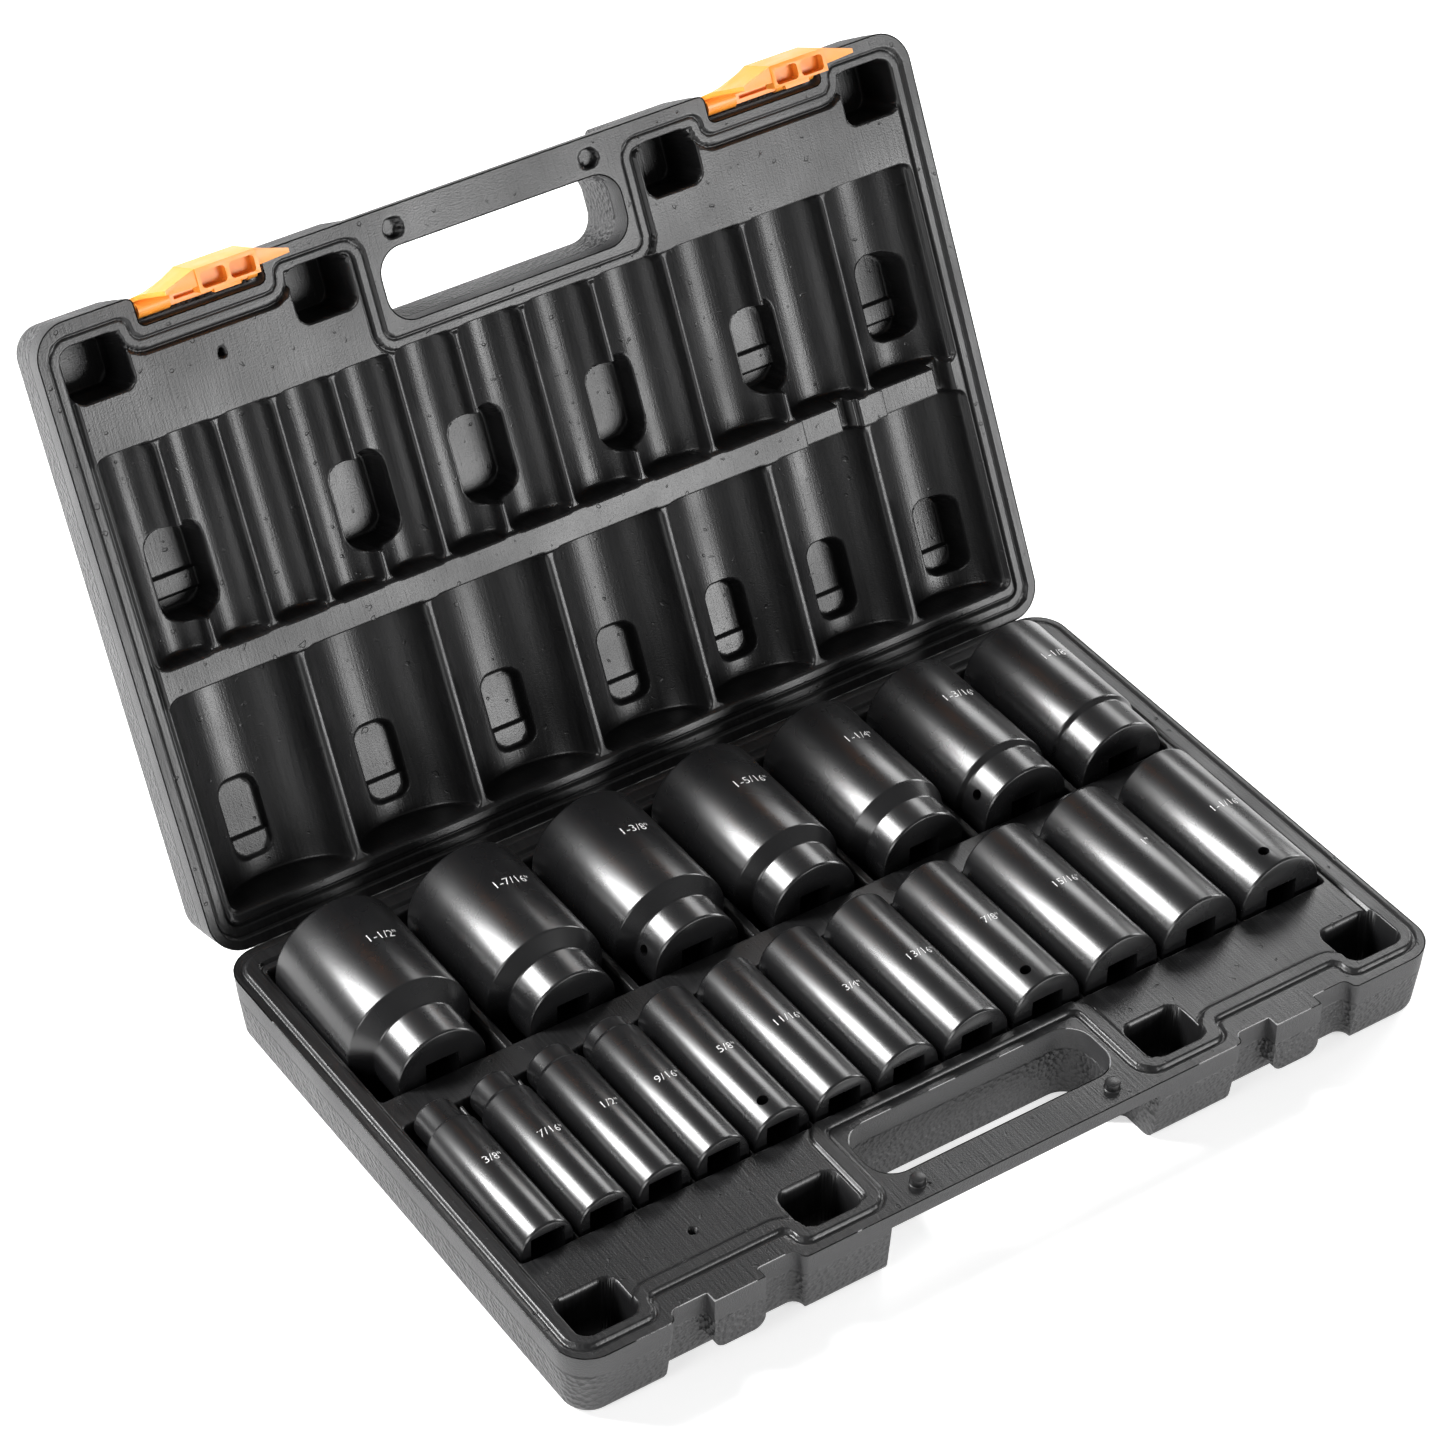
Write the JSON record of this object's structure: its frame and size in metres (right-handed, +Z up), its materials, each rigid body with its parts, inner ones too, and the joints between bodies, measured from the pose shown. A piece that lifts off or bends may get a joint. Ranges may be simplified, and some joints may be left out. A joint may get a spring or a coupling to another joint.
{
  "type": "socket wrench set in case",
  "caption": "Deep impact sockets in two rows in a moulded carry case with a hinged lid, front handle and two snap latches.",
  "frame": {"origin": "centre of the base's flat underside", "axes": "+X along the case, +Y towards the hinge, +Z up"},
  "size_m": [0.386, 0.3835, 0.2747],
  "materials": {
    "case_plastic": "pebbled outside, satin on the rim and inside",
    "latch_plastic": "semi-gloss orange",
    "socket_steel": "smooth black oxide with a glossy sheen"
  },
  "bodies": {
    "base": {"case_base": "case_plastic", "living_hinge": "case_plastic"},
    "lid": {"case_lid": "case_plastic"},
    "latch_left": {"latch_left": "latch_plastic"},
    "latch_right": {"latch_right": "latch_plastic"},
    "socket_3_8": {"socket_3_8_inch": "socket_steel"},
    "socket_7_16": {"socket_7_16_inch": "socket_steel"},
    "socket_1_2": {"socket_1_2_inch": "socket_steel"},
    "socket_9_16": {"socket_9_16_inch": "socket_steel"},
    "socket_5_8": {"socket_5_8_inch": "socket_steel"},
    "socket_11_16": {"socket_11_16_inch": "socket_steel"},
    "socket_3_4": {"socket_3_4_inch": "socket_steel"},
    "socket_13_16": {"socket_13_16_inch": "socket_steel"},
    "socket_7_8": {"socket_7_8_inch": "socket_steel"},
    "socket_15_16": {"socket_15_16_inch": "socket_steel"},
    "socket_1": {"socket_1_inch": "socket_steel"},
    "socket_1_1_16": {"socket_1_1_16_inch": "socket_steel"},
    "socket_1_1_2": {"socket_1_1_2_inch": "socket_steel"},
    "socket_1_7_16": {"socket_1_7_16_inch": "socket_steel"},
    "socket_1_3_8": {"socket_1_3_8_inch": "socket_steel"},
    "socket_1_5_16": {"socket_1_5_16_inch": "socket_steel"},
    "socket_1_1_4": {"socket_1_1_4_inch": "socket_steel"},
    "socket_1_3_16": {"socket_1_3_16_inch": "socket_steel"},
    "socket_1_1_8": {"socket_1_1_8_inch": "socket_steel"}
  },
  "joints": [
    {"name": "lid_hinge", "type": "hinge", "parent": "base", "child": "lid", "pos_m": [0, 0.1242, 0.0313], "axis": [-1, 0, 0], "range_deg": [-116, 64]},
    {"name": "latch_left_pivot", "type": "hinge", "parent": "lid", "child": "latch_left", "pos_m": [-0.1247, 0.23585, 0.24654], "axis": [-1, 0, 0], "range_deg": [0, 85]},
    {"name": "latch_right_pivot", "type": "hinge", "parent": "lid", "child": "latch_right", "pos_m": [0.1247, 0.23585, 0.24654], "axis": [-1, 0, 0], "range_deg": [0, 85]},
    {"name": "socket_3_8_lift", "type": "slide", "parent": "base", "child": "socket_3_8", "axis": [0, 0, 1], "range_m": [0, 0.06]},
    {"name": "socket_7_16_lift", "type": "slide", "parent": "base", "child": "socket_7_16", "axis": [0, 0, 1], "range_m": [0, 0.06]},
    {"name": "socket_1_2_lift", "type": "slide", "parent": "base", "child": "socket_1_2", "axis": [0, 0, 1], "range_m": [0, 0.06]},
    {"name": "socket_9_16_lift", "type": "slide", "parent": "base", "child": "socket_9_16", "axis": [0, 0, 1], "range_m": [0, 0.06]},
    {"name": "socket_5_8_lift", "type": "slide", "parent": "base", "child": "socket_5_8", "axis": [0, 0, 1], "range_m": [0, 0.06]},
    {"name": "socket_11_16_lift", "type": "slide", "parent": "base", "child": "socket_11_16", "axis": [0, 0, 1], "range_m": [0, 0.06]},
    {"name": "socket_3_4_lift", "type": "slide", "parent": "base", "child": "socket_3_4", "axis": [0, 0, 1], "range_m": [0, 0.06]},
    {"name": "socket_13_16_lift", "type": "slide", "parent": "base", "child": "socket_13_16", "axis": [0, 0, 1], "range_m": [0, 0.06]},
    {"name": "socket_7_8_lift", "type": "slide", "parent": "base", "child": "socket_7_8", "axis": [0, 0, 1], "range_m": [0, 0.06]},
    {"name": "socket_15_16_lift", "type": "slide", "parent": "base", "child": "socket_15_16", "axis": [0, 0, 1], "range_m": [0, 0.06]},
    {"name": "socket_1_lift", "type": "slide", "parent": "base", "child": "socket_1", "axis": [0, 0, 1], "range_m": [0, 0.06]},
    {"name": "socket_1_1_16_lift", "type": "slide", "parent": "base", "child": "socket_1_1_16", "axis": [0, 0, 1], "range_m": [0, 0.06]},
    {"name": "socket_1_1_2_lift", "type": "slide", "parent": "base", "child": "socket_1_1_2", "axis": [0, 0, 1], "range_m": [0, 0.06]},
    {"name": "socket_1_7_16_lift", "type": "slide", "parent": "base", "child": "socket_1_7_16", "axis": [0, 0, 1], "range_m": [0, 0.06]},
    {"name": "socket_1_3_8_lift", "type": "slide", "parent": "base", "child": "socket_1_3_8", "axis": [0, 0, 1], "range_m": [0, 0.06]},
    {"name": "socket_1_5_16_lift", "type": "slide", "parent": "base", "child": "socket_1_5_16", "axis": [0, 0, 1], "range_m": [0, 0.06]},
    {"name": "socket_1_1_4_lift", "type": "slide", "parent": "base", "child": "socket_1_1_4", "axis": [0, 0, 1], "range_m": [0, 0.06]},
    {"name": "socket_1_3_16_lift", "type": "slide", "parent": "base", "child": "socket_1_3_16", "axis": [0, 0, 1], "range_m": [0, 0.06]},
    {"name": "socket_1_1_8_lift", "type": "slide", "parent": "base", "child": "socket_1_1_8", "axis": [0, 0, 1], "range_m": [0, 0.06]}
  ]
}
